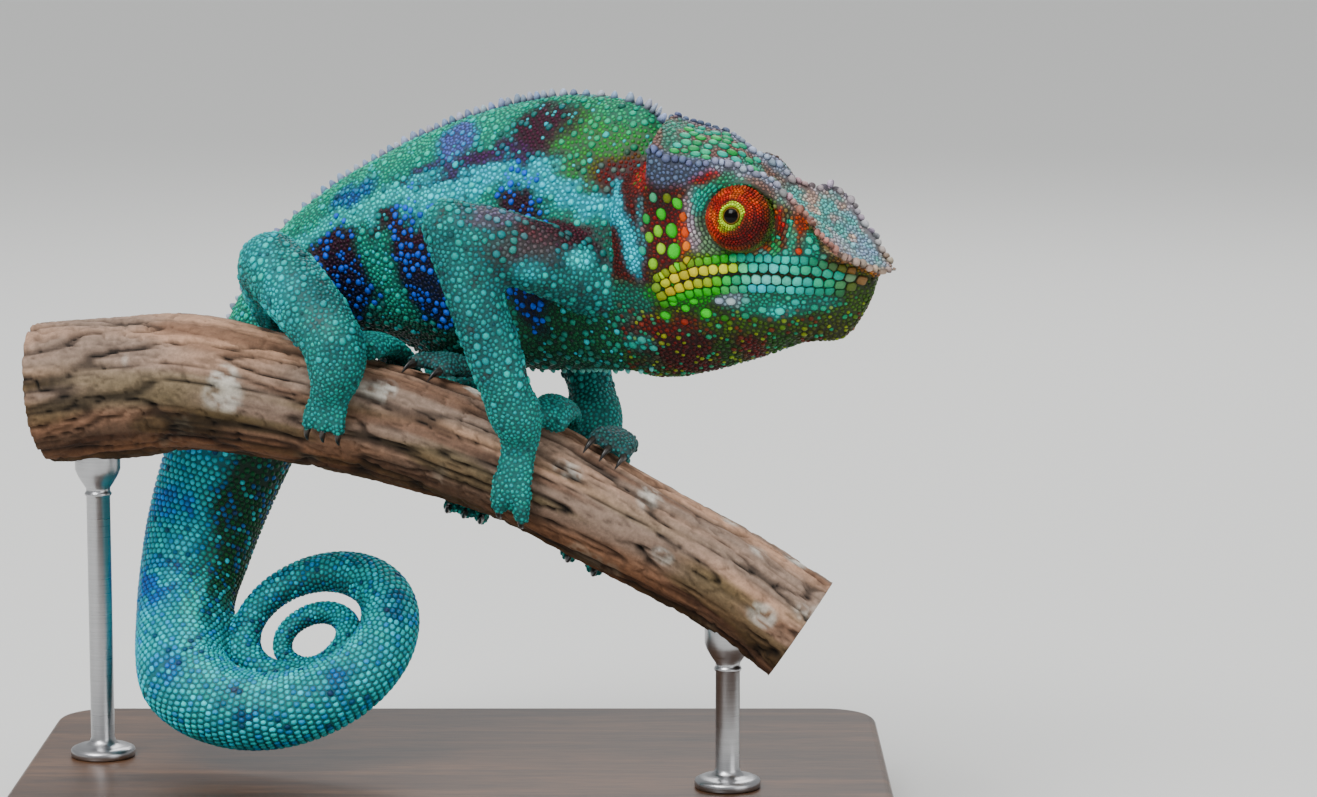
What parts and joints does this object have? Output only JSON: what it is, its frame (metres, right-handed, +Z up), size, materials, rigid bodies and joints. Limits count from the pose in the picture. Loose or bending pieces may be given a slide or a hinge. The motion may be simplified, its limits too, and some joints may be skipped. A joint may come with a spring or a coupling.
{
  "type": "panther chameleon on a perch",
  "caption": "Life-size adult male panther chameleon gripping a cut length of branch with its tail coiled, held on a plain display stand.",
  "frame": {"origin": "middle of the underside of the display stand's base", "axes": "+X along the branch towards the animal's head, -Y towards the side its right flank faces, +Z up"},
  "size_m": [0.16, 0.096, 0.1399],
  "materials": {
    "skin": "dry, finely scaled skin, turquoise with dark red and blue bars",
    "throat_skin": "dry, finely scaled skin, dark olive and red-brown",
    "crest_scales": "knobbly horny scales, blue-grey and tan",
    "eyelid": "finely granular rust-orange lid",
    "eyeball": "wet black pupil in a thin gold ring",
    "claw": "smooth dark horn",
    "bark": "dry fissured bark with pale patches",
    "base_wood": "satin walnut",
    "rod_steel": "satin"
  },
  "bodies": {
    "root": {"perch": "bark", "stand_base": "base_wood", "stand_rod_left": "rod_steel", "stand_rod_right": "rod_steel", "eyeball_right": "eyeball", "eye_turret_right": "eyelid", "eyeball_left": "eyeball", "eye_turret_left": "eyelid", "lower_jaw": "throat_skin", "cranium": "skin", "casque": "crest_scales", "neck": "skin", "trunk_front": "skin", "trunk_rear": "skin", "tail_base": "skin", "tail_1": "skin", "tail_2": "skin", "tail_3": "skin", "tail_4": "skin", "tail_5": "skin", "tail_6": "skin", "tail_7": "skin", "arm_upper_right": "skin", "arm_lower_right": "skin", "hand_right": "skin", "fingers_outer_right": "skin", "fingers_inner_right": "skin", "thigh_right": "skin", "shin_right": "skin", "foot_right": "skin", "toes_outer_right": "skin", "toes_inner_right": "skin", "arm_upper_left": "skin", "arm_lower_left": "skin", "hand_left": "skin", "fingers_outer_left": "skin", "fingers_inner_left": "skin", "thigh_left": "skin", "shin_left": "skin", "foot_left": "skin", "toes_outer_left": "skin", "toes_inner_left": "skin"}
  },
  "joints": []
}
